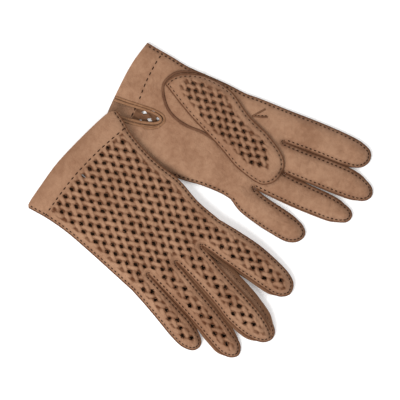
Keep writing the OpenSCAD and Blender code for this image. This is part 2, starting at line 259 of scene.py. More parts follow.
class Glove:
    """One glove's pattern lines, its seams and the heights of its leather."""

    def __init__(self, side):
        self.side = side
        lines = PATTERN[side]
        self.lines = {name: smooth_line(points) for name, points in lines.items()}
        self.hinge_y, self.hinge_x, self.length = [], [], []
        for f in FINGERS:
            x, y = to_pattern(side, hinge(side, f)[0])
            self.hinge_x.append(x)
            self.hinge_y.append(y)
            self.length.append(self.lines[f][:, 1].max() - y)
        self.crotches = [lines[f][-1] for f in FINGERS[:-1]]
        self.base = [lines["pinky"][-1]] + [lines[f][0] for f in reversed(FINGERS)]

    def hand_loop(self):
        lines = self.lines
        return np.vstack([lines["cuff"], lines["little_side"], self.base, lines["index_side"]])

    def finger_loop(self, finger, line=None):
        line = self.lines[finger] if line is None else line
        inner = Vector(line[0]).lerp(Vector(line[-1]), 0.5)
        lap = np.array([line[-1] + np.array((0, -0.4)), np.array(inner) + np.array((0, -0.4)),
                        line[0] + np.array((0, -0.4))])
        return np.vstack([line, lap])

    def seams(self, top):
        """Samples of every sewn edge, with how far a fourchette holds its two edges apart."""
        points, spread = [], []
        for name in ("little_side", "index_side"):
            points.append(self.lines[name])
            spread.append(np.zeros(len(self.lines[name])))
        for f in FINGERS:
            line = self.lines[f]
            tip = int(np.argmax(line[:, 1]))
            up = np.arange(len(line)) <= tip
            has = np.where(up, f != "index", f != "pinky").astype(float)
            near_tip = ease((line[tip, 1] - line[:, 1] - 9) / 14)
            from_base = np.minimum(np.arange(len(line)), np.arange(len(line))[::-1])
            amount = has * near_tip * ease(from_base / 12)
            if top and self.side == "right" and f == "middle":
                edge = smooth_line(OPEN_FOURCHETTE)
                k = np.arange(len(edge)) / (len(edge) - 1)
                points.append(edge)
                spread.append(1.7 * ease(k / 0.12) * ease((1 - k) / 0.2))
                line, amount = line[tip:], amount[tip:]
            points.append(line)
            spread.append(amount)
        return np.vstack(points), np.concatenate(spread)

    def lift(self, xy):
        """Height of the glove's palm plane above the surface it lies on."""
        if self.side == "left":
            return np.zeros(len(xy))
        x, y = xy[:, 0], xy[:, 1]
        plane = 9.3 - 0.055 * (x + 43)
        droop = 2.4 * ease((x - 8) / 42) * (1 - ease((y - 90) / 35))
        cuff = 1.1 * ease((45 - y) / 45) * ease((x + 5) / 45)
        foot = 9.3 - 0.055 * (np.array(self.hinge_x) + 43) - 0.7
        slope = np.interp(x, self.hinge_x, foot / np.array(self.length))
        past = y - np.interp(x, self.hinge_x, self.hinge_y)
        bend = 5.0 * np.log1p(np.exp(np.clip(past / 5.0, -30, 30)))
        return plane - droop - cuff - slope * bend

    def heights(self, xy, top, samples, spread):
        """Height of a sheet's outer face, and its distance from the nearest sewn edge."""
        d, i = nearest(xy, samples)
        x, y = xy[:, 0], xy[:, 1]
        opened = spread[i]
        past = y - np.interp(x, self.hinge_x, self.hinge_y)
        finger = ease((past + 18) / 26)
        t = np.clip((d - FLANGE * 0.8) / (13 - 4.5 * finger), 0, 1)
        puff = np.sqrt(1 - (1 - t) ** 2)
        if top:
            peak = HAND_TOP_Z + (FINGER_TOP_Z - HAND_TOP_Z) * finger
            seam = SEAM_LOW_Z + 1.7 + 2.0 * opened
            z = seam + (peak - seam) * puff
            ripple = np.array([noise.noise(Vector((a / 17, b / 26, 3.7))) for a, b in xy])
            fine = np.array([noise.noise(Vector((a / 6.5, b / 9, 8.1))) for a, b in xy])
            fold = np.array([noise.noise(Vector((a / 19 + b / 60, b / 4.6, 2.2))) for a, b in xy])
            folds = 0.5 * fold * ease((past + 24) / 14)
            z = z + (0.6 * ripple + 0.24 * fine + folds) * ease((d - 2) / 5)
            hem = np.interp(x, self.lines["hem"][:, 0], self.lines["hem"][:, 1])
            z = z + 0.45 * (1 - ease((y - hem + 0.6) / 1.2)) - 0.25 * np.exp(-((y - hem) / 1.0) ** 2)
            if self.side == "left":
                z = z - 3.0 * ease((20 - np.abs(x - 4.5)) / 16) * ease((56 - y) / 24)
        else:
            flat = FLAT_Z[self.side]
            z = SEAM_LOW_Z - 0.5 * opened + (flat - SEAM_LOW_Z) * puff
        return z + self.lift(xy), d

    def place(self, xy, z):
        """Pattern points and heights as frame points in metres."""
        return np.column_stack([on_table(self.side, xy), z]) * MM


GLOVES = {side: Glove(side) for side in SIDES}

# ---------------------------------------------------------------- node and colour helpers

def srgb(code):
    """An sRGB hex colour as a linear colour with alpha."""
    value = [int(code[i:i + 2], 16) / 255 for i in (1, 3, 5)]
    return tuple(v / 12.92 if v <= 0.04045 else ((v + 0.055) / 1.055) ** 2.4 for v in value) + (1.0,)


def add_node(tree, kind, inputs=None, **settings):
    """Adds a node, sets its properties, and links or sets its inputs."""
    node = tree.nodes.new(kind)
    for name, value in settings.items():
        setattr(node, name, value)
    for name, value in (inputs or {}).items():
        if isinstance(value, bpy.types.NodeSocket):
            tree.links.new(value, node.inputs[name])
        else:
            node.inputs[name].default_value = value
    return node


def per_mm(size):
    """A texture scale whose features are about this many millimetres."""
    return 1.0 / (size * MM)


def blank_material(name):
    material = bpy.data.materials.new(name)
    material.use_nodes = True
    material.node_tree.nodes.clear()
    return material, material.node_tree


# The leather's own tone, which warms its sheen and its gloss
SHEEN_TINT = "#C9976F"
GLOSS_TINT = "#E3BE9C"


def finish_material(tree, colour, normal, roughness, sheen=0.0, specular=0.35):
    shader = add_node(tree, "ShaderNodeBsdfPrincipled",
                      {"Base Color": colour, "Normal": normal, "Roughness": roughness, "IOR": 1.45})
    shader.inputs["Specular IOR Level"].default_value = specular
    shader.inputs["Sheen Weight"].default_value = sheen
    shader.inputs["Sheen Roughness"].default_value = 0.6
    shader.inputs["Sheen Tint"].default_value = srgb(SHEEN_TINT)
    shader.inputs["Specular Tint"].default_value = srgb(GLOSS_TINT)
    out = add_node(tree, "ShaderNodeOutputMaterial")
    tree.links.new(shader.outputs[0], out.inputs[0])


def leather_material(name, light, dark, shade_colour):
    """Tanned sheepskin: soft, matt, with fine grain and mottled dye, and with painted shade in its
    recesses mixed in by the shade attribute.
    """
    material, tree = blank_material(name)
    here = add_node(tree, "ShaderNodeTexCoord").outputs["Object"]
    cloud = add_node(tree, "ShaderNodeTexNoise",
                     {"Vector": here, "Scale": per_mm(34), "Detail": 3.0, "Roughness": 0.55})
    mottle = add_node(tree, "ShaderNodeTexNoise",
                      {"Vector": here, "Scale": per_mm(5), "Detail": 5.0, "Roughness": 0.65})
    mixed = add_node(tree, "ShaderNodeMath", {0: cloud.outputs["Fac"], 1: mottle.outputs["Fac"]},
                     operation="ADD")
    spread = add_node(tree, "ShaderNodeMapRange",
                      {"Value": mixed.outputs[0], "From Min": 0.8, "From Max": 1.2})
    dye = add_node(tree, "ShaderNodeMix", {"Factor": spread.outputs[0]}, data_type="RGBA")
    dye.inputs[6].default_value = srgb(dark)
    dye.inputs[7].default_value = srgb(light)
    # Painted shade: the shade attribute mixes the dye toward the shade colour
    shade = add_node(tree, "ShaderNodeAttribute", attribute_name="shade")
    deep = add_node(tree, "ShaderNodeMix", {"Factor": shade.outputs["Fac"]}, data_type="RGBA")
    tree.links.new(dye.outputs[2], deep.inputs[6])
    deep.inputs[7].default_value = srgb(shade_colour)
    fold = add_node(tree, "ShaderNodeTexNoise",
                    {"Vector": here, "Scale": per_mm(15), "Detail": 3.0, "Roughness": 0.5,
                     "Distortion": 1.4})
    middle = add_node(tree, "ShaderNodeMath", {0: fold.outputs["Fac"], 1: 0.5}, operation="SUBTRACT")
    ridge = add_node(tree, "ShaderNodeMath", {0: middle.outputs[0]}, operation="ABSOLUTE")
    wrinkle = add_node(tree, "ShaderNodeMapRange",
                       {"Value": ridge.outputs[0], "From Min": 0.0, "From Max": 0.1})
    grain = add_node(tree, "ShaderNodeTexVoronoi", {"Vector": here, "Scale": per_mm(0.9)},
                     feature="SMOOTH_F1")
    crease = add_node(tree, "ShaderNodeTexNoise",
                      {"Vector": here, "Scale": per_mm(2.6), "Detail": 4.0, "Roughness": 0.6,
                       "Distortion": 0.6})
    fine = add_node(tree, "ShaderNodeBump",
                    {"Height": grain.outputs["Distance"], "Strength": 0.35, "Distance": 0.12 * MM})
    coarse = add_node(tree, "ShaderNodeBump",
                      {"Height": crease.outputs["Fac"], "Strength": 0.6, "Distance": 0.8 * MM,
                       "Normal": fine.outputs[0]})
    folded = add_node(tree, "ShaderNodeBump",
                      {"Height": wrinkle.outputs[0], "Strength": 0.26, "Distance": 1.0 * MM,
                       "Normal": coarse.outputs[0]})
    rough = add_node(tree, "ShaderNodeMapRange",
                     {"Value": mottle.outputs["Fac"], "From Min": 0.3, "From Max": 0.7,
                      "To Min": 0.52, "To Max": 0.72})
    finish_material(tree, deep.outputs[2], folded.outputs[0], rough.outputs[0], sheen=0.06, specular=0.26)
    return material


def flesh_material(name, colour, dark):
    """The unlined inner side of the skin, and its cut edge: matt suede nap, darker than the grain; on the
    flesh side that darkness is partly painted shade for the glove's inside.
    """
    material, tree = blank_material(name)
    here = add_node(tree, "ShaderNodeTexCoord").outputs["Object"]
    nap = add_node(tree, "ShaderNodeTexNoise",
                   {"Vector": here, "Scale": per_mm(1.4), "Detail": 5.0, "Roughness": 0.7})
    tone = add_node(tree, "ShaderNodeMix", {"Factor": nap.outputs["Fac"]}, data_type="RGBA")
    tone.inputs[6].default_value = srgb(dark)
    tone.inputs[7].default_value = srgb(colour)
    bump = add_node(tree, "ShaderNodeBump",
                    {"Height": nap.outputs["Fac"], "Strength": 0.5, "Distance": 0.2 * MM})
    finish_material(tree, tone.outputs[2], bump.outputs[0], 0.9, sheen=0.3, specular=0.15)
    return material


def thread_material(name, light, dark):
    """Waxed linen thread: dark, with a slight twist and a soft shine."""
    material, tree = blank_material(name)
    here = add_node(tree, "ShaderNodeTexCoord").outputs["Object"]
    twist = add_node(tree, "ShaderNodeTexNoise",
                     {"Vector": here, "Scale": per_mm(0.7), "Detail": 2.0, "Roughness": 0.6})
    tone = add_node(tree, "ShaderNodeMix", {"Factor": twist.outputs["Fac"]}, data_type="RGBA")
    tone.inputs[6].default_value = srgb(dark)
    tone.inputs[7].default_value = srgb(light)
    bump = add_node(tree, "ShaderNodeBump",
                    {"Height": twist.outputs["Fac"], "Strength": 0.5, "Distance": 0.15 * MM})
    finish_material(tree, tone.outputs[2], bump.outputs[0], 0.5, specular=0.4)
    return material


MATERIALS = {}


def finishes(settings):
    """Makes the gloves' materials once and returns them by name."""
    if not MATERIALS:
        MATERIALS["leather"] = leather_material(
            "glove_sheepskin", settings.light_dye, settings.dark_dye, settings.painted_shade_colour)
        # The flesh side is dark partly as suede and partly as painted shade for the inside seen through
        # the holes
        MATERIALS["flesh"] = flesh_material("suede_flesh_side", "#74543F", "#5A3E2D")
        MATERIALS["edge"] = flesh_material("burnished_cut_edge", "#5A4032", "#3C281E")
        MATERIALS["piping"] = leather_material("rolled_piping_leather", "#8E6A50", "#7A573F", "#3E2417")
        MATERIALS["welt"] = leather_material("thumb_seam_welt", "#6E4E3A", "#57392A", "#2E190F")
        MATERIALS["thread"] = thread_material("waxed_linen_thread", "#341A10", "#1C0C06")
    return MATERIALS


# ---------------------------------------------------------------- mesh helpers

def new_object(name, mesh, materials):
    for material in materials:
        mesh.materials.append(material)
    piece = bpy.data.objects.new(name, mesh)
    bpy.context.scene.collection.objects.link(piece)
    return piece


def settle(piece):
    """Applies a piece's modifiers."""
    bpy.context.view_layer.update()
    ready = piece.evaluated_get(bpy.context.evaluated_depsgraph_get())
    mesh = bpy.data.meshes.new_from_object(ready, depsgraph=bpy.context.evaluated_depsgraph_get())
    piece.modifiers.clear()
    old = piece.data
    piece.data = mesh
    bpy.data.meshes.remove(old)
    bm = bmesh.new()
    bm.from_mesh(mesh)
    for edge in bm.edges:
        if len({face.material_index for face in edge.link_faces}) > 1:
            edge.smooth = False
    bm.to_mesh(mesh)
    bm.free()
    return piece


def give_thickness(piece, thickness):
    """Turns a sheet into leather with a flesh side and a cut edge."""
    solid = piece.modifiers.new("thickness", "SOLIDIFY")
    solid.thickness = thickness
    solid.offset = -1.0
    solid.use_even_offset = False
    solid.material_offset = 1
    solid.material_offset_rim = 2
    return settle(piece)


def weave_steps(weave):
    """The two directions in which the strips run, one crossing to the next, in millimetres."""
    return np.array([weave.across / 2, weave.along]), np.array([-weave.across / 2, weave.along])


CELLS = 11
STRIP_HALF = 3 / CELLS


def cut_sheet(loop, holes, weave, origin, turn, window, cell=1.15, scale=1.0):
    """A flat bmesh sheet trimmed to its pattern loop. Where window says so it is pierced by the
    woven panel's holes. Returns the bmesh and each vertex's place in the weave."""
    c, s = math.cos(turn), math.sin(turn)
    spin = np.array([[c, -s], [s, c]])
    if window is None:
        steps = np.array([[cell, 0], [0, cell]])
    else:
        steps = np.array(weave_steps(weave)) * scale / CELLS
        steps = steps @ spin.T
    inverse = np.linalg.inv(steps)
    reach = (loop - origin) @ inverse
    low = np.floor(reach.min(0)) - 1
    high = np.ceil(reach.max(0)) + 1
    count = (high - low).astype(int)
    bm = bmesh.new()
    bmesh.ops.create_grid(bm, x_segments=int(count[0]), y_segments=int(count[1]), size=0.5)
    bm.verts.ensure_lookup_table()
    grid = np.array([v.co[:2] for v in bm.verts])
    place = low + 0.5 + (grid + 0.5) * count
    flat = place @ steps + origin
    for v, (x, y) in zip(bm.verts, flat):
        v.co = (x, y, 0.0)
    bm.faces.ensure_lookup_table()
    centre = np.array([f.calc_center_median()[:2] for f in bm.faces])
    keep = inside(centre, loop)
    for hole in holes:
        keep &= ~inside(centre, hole)
    if window is not None:
        unit = ((centre - origin) @ inverse) / CELLS
        off = np.abs(unit - np.round(unit))
        middle = (np.floor(unit) + 0.5) * CELLS @ steps + origin
        tall = np.abs((unit - np.floor(unit) - 0.5).sum(1))
        pierced = (off.min(1) > STRIP_HALF) & (tall < 0.32) & window(middle)
        keep &= ~pierced
    bmesh.ops.delete(bm, geom=[f for f, k in zip(bm.faces, keep) if not k], context="FACES")
    bm.verts.ensure_lookup_table()
    rim = [v for v in bm.verts if v.is_boundary]
    edge = np.vstack([densify(q) for q in [loop] + list(holes)])
    gap, near = nearest([v.co[:2] for v in rim], edge)
    for v, g, k in zip(rim, gap, near):
        if g < 1.1:
            v.co.x, v.co.y = edge[k]
    return bm, inverse


def densify(loop, step=0.25):
    """Points along a closed loop, a step apart."""
    after = np.roll(loop, -1, axis=0)
    out = []
    for a, b in zip(loop, after):
        count = max(1, int(np.linalg.norm(b - a) / step))
        out += [a + (b - a) * k / count for k in range(count)]
    return np.array(out)


def weave_relief(xy, inverse, origin, weave, amount):
    """How high the woven strips stand at each point, and how much painted shade it gets."""
    unit = ((xy - origin) @ inverse) / CELLS
    whole = np.round(unit)
    off = np.abs(unit - whole)
    on_a = off[:, 1] <= STRIP_HALF + 0.01
    on_b = off[:, 0] <= STRIP_HALF + 0.01
    wave_a = np.cos(np.pi * (unit[:, 0] + whole[:, 1]))
    wave_b = -np.cos(np.pi * (unit[:, 1] + whole[:, 0]))
    rise_a = weave.relief * wave_a - weave.crown * (off[:, 1] / STRIP_HALF) ** 2
    rise_b = weave.relief * wave_b - weave.crown * (off[:, 0] / STRIP_HALF) ** 2
    low = -weave.relief - weave.crown
    rise = np.maximum(np.where(on_a, rise_a, low), np.where(on_b, rise_b, low))
    rise = np.where(on_a | on_b, rise, 0.0)
    # Painted shade: the lower a point lies in the weave, the darker it is painted
    depth = ease((0.8 - rise) / (weave.relief + weave.crown + 0.6))
    tone = np.array([noise.cell(Vector((*pair, 0.3))) for pair in whole])
    from_hole = (unit - np.floor(unit) - 0.5)
    far = np.hypot((from_hole[:, 0] - from_hole[:, 1]) * weave.across / 2,
                   (from_hole[:, 0] + from_hole[:, 1]) * weave.along)
    # Painted shade round each hole, where the strips dip toward the dark inside
    ring = 1 - ease((far - 1.8) / 1.3)
    # The two painted shades, plus a random tone for each crossing
    shade = 0.04 + 0.6 * depth + 0.6 * ring + 0.16 * (tone - 0.5)
    return rise * amount, np.clip(shade, 0, 0.95) * amount


def wobble(xy, amount):
    """Lets the strips wander a little from their even pattern."""
    drift = np.array([[noise.noise(Vector((a / 9, b / 9, layer))) for layer in (1.3, 6.9)] for a, b in xy])
    return xy + 0.9 * drift * amount[:, None]


def sheet_object(name, glove, bm, top, rise, shade, finishes_, thickness, samples, spread, base=None):
    """Gives a flat sheet its heights, its shading and its thickness, and places it."""
    xy = np.array([v.co[:2] for v in bm.verts])
    z, d = glove.heights(xy, top, samples, spread)
    if base is not None:
        start, end = base
        normal = np.array([end[1] - start[1], start[0] - end[0]])
        under = (xy - start) @ (normal / np.linalg.norm(normal))
        under = under if normal[1] < 0 else -under
        z = z + (-0.15 if top else 0.15) * ease(under / 0.2)
    spots = glove.place(xy, np.maximum(z + rise, 0.05))
    shade = np.maximum(shade, cuff_darkening(glove, xy))
    for v, spot in zip(bm.verts, spots):
        v.co = spot
    if not top:
        bmesh.ops.reverse_faces(bm, faces=bm.faces)
    return make_sheet(name, bm, d, shade, finishes_, thickness)


def cuff_darkening(glove, xy):
    """The right glove's cuff is painted a little darker, most of all towards its edge."""
    if glove.side == "left":
        return np.zeros(len(xy))
    hem = np.interp(xy[:, 0], glove.lines["hem"][:, 0], glove.lines["hem"][:, 1])
    return 0.1 * (1 - ease((xy[:, 1] - hem - 2) / 6)) + 0.16 * ease((9 - xy[:, 1]) / 9)


def make_sheet(name, bm, d, shade, finishes_, thickness):
    layer = bm.verts.layers.float.new("shade")
    # Dark edge: partly the cut edge's own burnished colour, partly painted shadow along the outline; a
    # faint painted shade line follows where the flange meets the puffed leather
    edge = 0.9 * ease((1.7 - d) / 1.3) + 0.12 * np.exp(-((d - FLANGE - 0.6) / 0.8) ** 2)
    for v, value in zip(bm.verts, np.clip(np.maximum(shade, edge), 0, 1)):
        v[layer] = value
    for face in bm.faces:
        face.smooth = True
    mesh = bpy.data.meshes.new(name)
    bm.to_mesh(mesh)
    bm.free()
    piece = new_object(name, mesh, [finishes_["leather"], finishes_["flesh"], finishes_["edge"]])
    return give_thickness(piece, thickness)


def add_stitch(bm, at, along, up, length, width, height):
    """One stitch: a small rounded bead of thread lying along the seam."""
    along = along.normalized()
    side = up.cross(along).normalized()
    turn = Matrix((along, side, side.cross(along) * -1)).transposed().to_4x4()
    scale = Matrix.Diagonal((length / 2, width / 2, height / 2, 1))
    bmesh.ops.create_icosphere(bm, subdivisions=2, radius=1.0,
                               matrix=Matrix.Translation(at) @ turn @ scale)


def along_line(line, pitch, start=0.0):
    """Places a pitch apart along an open line, with the line's direction at each."""
    step = np.linalg.norm(np.diff(line, axis=0), axis=1)
    run = np.concatenate([[0], np.cumsum(step)])
    stops = np.arange(start, run[-1] - start * 0.5, pitch)
    x = np.interp(stops, run, line[:, 0])
    y = np.interp(stops, run, line[:, 1])
    ahead = np.interp(stops + 0.5, run, line[:, 0]), np.interp(stops + 0.5, run, line[:, 1])
    back = np.interp(stops - 0.5, run, line[:, 0]), np.interp(stops - 0.5, run, line[:, 1])
    way = np.column_stack([ahead[0] - back[0], ahead[1] - back[1]])
    return np.column_stack([x, y]), way / np.linalg.norm(way, axis=1)[:, None]


def thread_object(name, bm, finishes_):
    bmesh.ops.recalc_face_normals(bm, faces=bm.faces)
    for face in bm.faces:
        face.smooth = True
    mesh = bpy.data.meshes.new(name)
    bm.to_mesh(mesh)
    bm.free()
    return new_object(name, mesh, [finishes_["thread"]])


def stitch_row(bm, glove, spots, z, way, *size):
    """Stitches at spots in the pattern, each turned along its own way."""
    for at, spin in zip(glove.place(spots, z), way):
        direction = on_table(glove.side, spin) - on_table(glove.side, (0.0, 0.0))
        add_stitch(bm, Vector(at), Vector((*direction[0], 0.0)), Vector((0, 0, 1)), *size)


def sew(bm, glove, line, inward, sewing, top, samples, spread, start=1.8):
    """A row of seam stitches beside a sewn edge, through the flange."""
    spots, way = along_line(line, sewing.pitch, start)
    spots = spots + inward * sewing.inset * np.column_stack([way[:, 1], -way[:, 0]])
    z, _ = glove.heights(spots, top, samples, spread)
    depth = 0.0 if top else 0.1
    stitch_row(bm, glove, spots, z + depth, way, sewing.length * MM, sewing.width * MM, sewing.height * MM)


def bend_with(piece, side, finger, start, end):
    """Bakes a digit's piece's placement into its mesh; it does not bend it. The side, finger, start and
    end arguments are not used.
    """
    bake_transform(piece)


BEND = {"left": (0.5, 18.0), "right": (-8.0, 12.0)}


# ---------------------------------------------------------------- settings

class GloveLeather(bpy.types.PropertyGroup):
    thickness: bpy.props.FloatProperty(
        name="Thickness", description="Thickness of the glove leather", default=0.8 * MM, min=0.0003,
        max=0.002, unit="LENGTH", precision=4)
    light_dye: bpy.props.StringProperty(
        name="Light dye", description="Lighter tone of the dyed leather", default="#96735B")
    dark_dye: bpy.props.StringProperty(
        name="Dark dye", description="Darker tone of the dyed leather", default="#825F49")
    # Colour of the painted shade that darkens the leather in folds, slits, edges and between the strips
    painted_shade_colour: bpy.props.StringProperty(
        name="Deep dye", description="Tone in folds, slits and between the strips", default="#45220F")


class GloveWeave(bpy.types.PropertyGroup):
    across: bpy.props.FloatProperty(
        name="Across", description="Spacing of the holes across the hand, mm", default=7.9, min=4, max=14)
    along: bpy.props.FloatProperty(
        name="Along", description="Spacing of the rows of holes along the hand, mm", default=6.4, min=4,
        max=12)
    relief: bpy.props.FloatProperty(
        name="Relief", description="How far a strip rises over the next, mm", default=0.8, min=0, max=2)
    crown: bpy.props.FloatProperty(
        name="Crown", description="How far a strip's edges turn down, mm", default=0.5, min=0, max=1)
    border: bpy.props.FloatProperty(
        name="Border", description="Plain leather beside the seams of the hand, mm", default=7.0, min=4,
        max=15)


class GloveSewing(bpy.types.PropertyGroup):
    pitch: bpy.props.FloatProperty(
        name="Pitch", description="Stitch spacing, mm", default=3.9, min=2, max=8)
    inset: bpy.props.FloatProperty(
        name="Inset", description="Distance of the seam from the cut edge, mm", default=2.4, min=1, max=5)
    length: bpy.props.FloatProperty(
        name="Length", description="Length of a seam stitch, mm", default=2.3, min=0.5, max=4)
    width: bpy.props.FloatProperty(
        name="Width", description="Thickness of the thread, mm", default=1.5, min=0.3, max=2)
    height: bpy.props.FloatProperty(
        name="Height", description="Height of a stitch, mm", default=1.1, min=0.3, max=3)


class GloveStage(bpy.types.PropertyGroup):
    floor_colour: bpy.props.FloatVectorProperty(
        name="Floor", description="Colour of the plain floor", subtype="COLOR", size=3,
        default=(0.92, 0.92, 0.92))
    view_width: bpy.props.FloatProperty(
        name="View width", description="Width of the view", default=0.340, unit="LENGTH")
    view_turn: bpy.props.FloatProperty(
        name="View turn", description="Turn of the camera about Z", default=math.radians(131.3),
        subtype="ANGLE")


# ---------------------------------------------------------------- hands and fingers

def window_for(glove, samples, border):
    """Tells which woven holes lie clear of the seams and the cuff."""
    hem = glove.lines["hem"]

    def window(points):
        d, _ = nearest(points, samples)
        clear = d > border
        clear &= points[:, 1] > np.interp(points[:, 0], hem[:, 0], hem[:, 1]) + 3.4
        return clear

    return window


def build_back(glove, name, loop, settings, sewn, base=None):
    """The woven back of a hand or a finger."""
    leather, weave, _ = settings
    samples, spread = sewn
    origin = np.array([0.0, 22.0 if glove.side == "right" else 20.6])
    window = window_for(glove, samples, weave.border)
    bm, inverse = cut_sheet(loop, [], weave, origin, 0.0, window)
    xy = np.array([v.co[:2] for v in bm.verts])
    d, _ = nearest(xy, samples)
    hem = np.interp(xy[:, 0], glove.lines["hem"][:, 0], glove.lines["hem"][:, 1])
    amount = ease((d - weave.border + 2.2) / 1.8) * ease((xy[:, 1] - hem - 0.8) / 2.0)
    rise, shade = weave_relief(xy, inverse, origin, weave, amount)
    for v, (x, y) in zip(bm.verts, wobble(xy, amount)):
        v.co.x, v.co.y = x, y
    top = glove.side == "right"
    return sheet_object(name, glove, bm, top, rise if top else -rise, shade,
                        finishes(leather), leather.thickness, samples, spread, base)


def build_palm(glove, name, loop, settings, sewn, holes=(), base=None):
    """The plain palm side of a hand or a finger."""
    leather, weave, _ = settings
    samples, spread = sewn
    bm, _ = cut_sheet(loop, holes, weave, np.zeros(2), 0.0, None)
    count = len(bm.verts)
    top = glove.side == "left"
    return sheet_object(name, glove, bm, top, np.zeros(count), np.zeros(count),
                        finishes(leather), leather.thickness, samples, spread, base)


def settings_now():
    scene = bpy.context.scene
    return scene.glove_leather, scene.glove_weave, scene.glove_sewing


def vent_line(side, points):
    """The vent lies open in the left glove and nearly closed under the right one."""
    share = 1.0 if side == "left" else 0.28
    return smooth_line([(4.6 + (x - 4.6) * share, y) for x, y in points], 0.8)


class GLOVES_OT_hands(bpy.types.Operator):
    """Builds the woven back and the plain palm of both hands"""

    bl_idname = "gloves.hands"
    bl_label = "Hands"

    def execute(self, context):
        settings = settings_now()
        for side, glove in GLOVES.items():
            loop = glove.hand_loop()
            back_up = side == "right"
            back = build_back(glove, f"{side}_woven_hand_back", loop, settings, glove.seams(back_up))
            palm = build_palm(glove, f"{side}_plain_palm", loop, settings, glove.seams(not back_up),
                              [vent_line(side, VENT)])
            for piece, nodes in ((back, ("hand_back", "hand_lattice")), (palm, ("hand_palm",))):
                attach(piece, f"{side}_hand")
                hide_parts(*[f"{side}_{node}" for node in nodes])
        return {"FINISHED"}


class GLOVES_OT_fingers(bpy.types.Operator):
    """Builds the back and the palm side of every finger"""

    bl_idname = "gloves.fingers"
    bl_label = "Fingers"

    def execute(self, context):
        settings = settings_now()
        for side, glove in GLOVES.items():
            back_up = side == "right"
            for finger in FINGERS:
                loop = glove.finger_loop(finger)
                back_loop = loop
                if side == "right" and finger == "middle":
                    line = glove.lines[finger]
                    tip = int(np.argmax(line[:, 1]))
                    open_line = np.vstack([smooth_line(OPEN_FOURCHETTE), line[tip:]])
                    back_loop = glove.finger_loop(finger, open_line)
                base = glove.lines[finger][0], glove.lines[finger][-1]
                back = build_back(glove, f"{side}_{finger}_woven_back", back_loop, settings,
                                  glove.seams(back_up), base)
                palm = build_palm(glove, f"{side}_{finger}_palm_side", loop, settings,
                                  glove.seams(not back_up), base=base)
                for piece, nodes in ((back, ("back", "lattice")), (palm, ("palm",))):
                    bend_with(piece, side, finger, *BEND[side])
                    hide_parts(*[f"{side}_{finger}_{node}" for node in nodes])
        return {"FINISHED"}


class GLOVES_OT_fourchettes(bpy.types.Operator):
    """Builds the side strips sewn between the front and back of the fingers"""

    bl_idname = "gloves.fourchettes"
    bl_label = "Fourchettes"

    def execute(self, context):
        leather = settings_now()[0]
        for side, glove in GLOVES.items():
            upper, lower = glove.seams(True), glove.seams(False)
            for finger in FINGERS:
                strips = []
                line = glove.lines[finger]
                tip = int(np.argmax(line[:, 1]))
                if finger != "index":
                    strips.append((line[2:tip - 2], 1.0))
                if finger != "pinky":
                    strips.append((line[tip + 2:-2], 1.0))
                pieces = []
                for k, (run, inward) in enumerate(strips):
                    pieces.append(self.wall(glove, f"{side}_{finger}_fourchette_{k + 1}", run, inward,
                                            upper, lower, leather))
                if side == "right" and finger == "middle":
                    pieces.append(self.wide_strip(glove, leather))
                for piece in pieces:
                    bend_with(piece, side, finger, *BEND[side])
                    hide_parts(f"{side}_{finger}_fourchette")
        return {"FINISHED"}

    def wall(self, glove, name, run, inward, upper, lower, leather):
        """A narrow upright strip set in from the two flanges."""
        rows = 6
        bm = bmesh.new()
        bmesh.ops.create_grid(bm, x_segments=len(run) - 1, y_segments=rows, size=0.5)
        way = np.gradient(run, axis=0)
        way = way / np.linalg.norm(way, axis=1)[:, None]
        side_way = inward * np.column_stack([way[:, 1], -way[:, 0]])
        others = [glove.lines[f] for f in FINGERS if f not in name]
        room = nearest(run, np.vstack(others))[0] / 2 - 0.15
        far = ease((glove.lines[name.split("_")[1]][:, 1].max() - run[:, 1] - 5) / 12)
        out = -1.0 + (np.clip(room, -0.6, 0.3 if glove.side == "left" else 1.5) + 1.0) * far
        out = np.convolve(np.pad(out, 4, mode="edge"), np.full(9, 1 / 9), mode="valid")
        flange = run + inward * (FLANGE * 0.5) * np.column_stack([way[:, 1], -way[:, 0]])
        high = glove.heights(flange, True, *upper)[0] - 0.5
        low = glove.heights(flange, False, *lower)[0] + 0.5
        for v in bm.verts:
            i = round((v.co.x + 0.5) * (len(run) - 1))
            t = v.co.y + 0.5
            spot = run[i] + side_way[i] * (1.3 - (1.3 + out[i]) * math.sin(math.pi * t) ** 0.7)
            v.co = glove.place(spot[None, :], np.array([low[i] + (high[i] - low[i]) * t]))[0]
        # The fourchettes deep in the slits between the fingers get painted shade all over
        return make_sheet(name, bm, np.full(len(bm.verts), 9.0), np.full(len(bm.verts), 0.35),
                          finishes(leather), leather.thickness * 0.6)

    def wide_strip(self, glove, leather):
        """The fourchette that shows beside the right middle finger's back."""
        line = glove.lines["middle"]
        tip = int(np.argmax(line[:, 1]))
        edge = smooth_line([(x + 3.2, y) for x, y in OPEN_FOURCHETTE[1:-1]])
        loop = np.vstack([line[3:tip - 1], edge[::-1]])
        bm, _ = cut_sheet(loop, [], None, np.zeros(2), 0.0, None, cell=1.2)
        samples, spread = glove.seams(False)
        xy = np.array([v.co[:2] for v in bm.verts])
        _, d = glove.heights(xy, False, samples, spread)
        bulge = np.sqrt(1 - (1 - np.clip((d - 1.8) / 6.0, 0, 1)) ** 2)
        flange = SEAM_LOW_Z + 1.3 + glove.lift(xy)
        z = flange + 2.0 * bulge
        for v, spot in zip(bm.verts, glove.place(xy, z)):
            v.co = spot
        return make_sheet("right_middle_wide_fourchette", bm, d + 0.6, np.full(len(bm.verts), 0.1),
                          finishes(leather), leather.thickness)


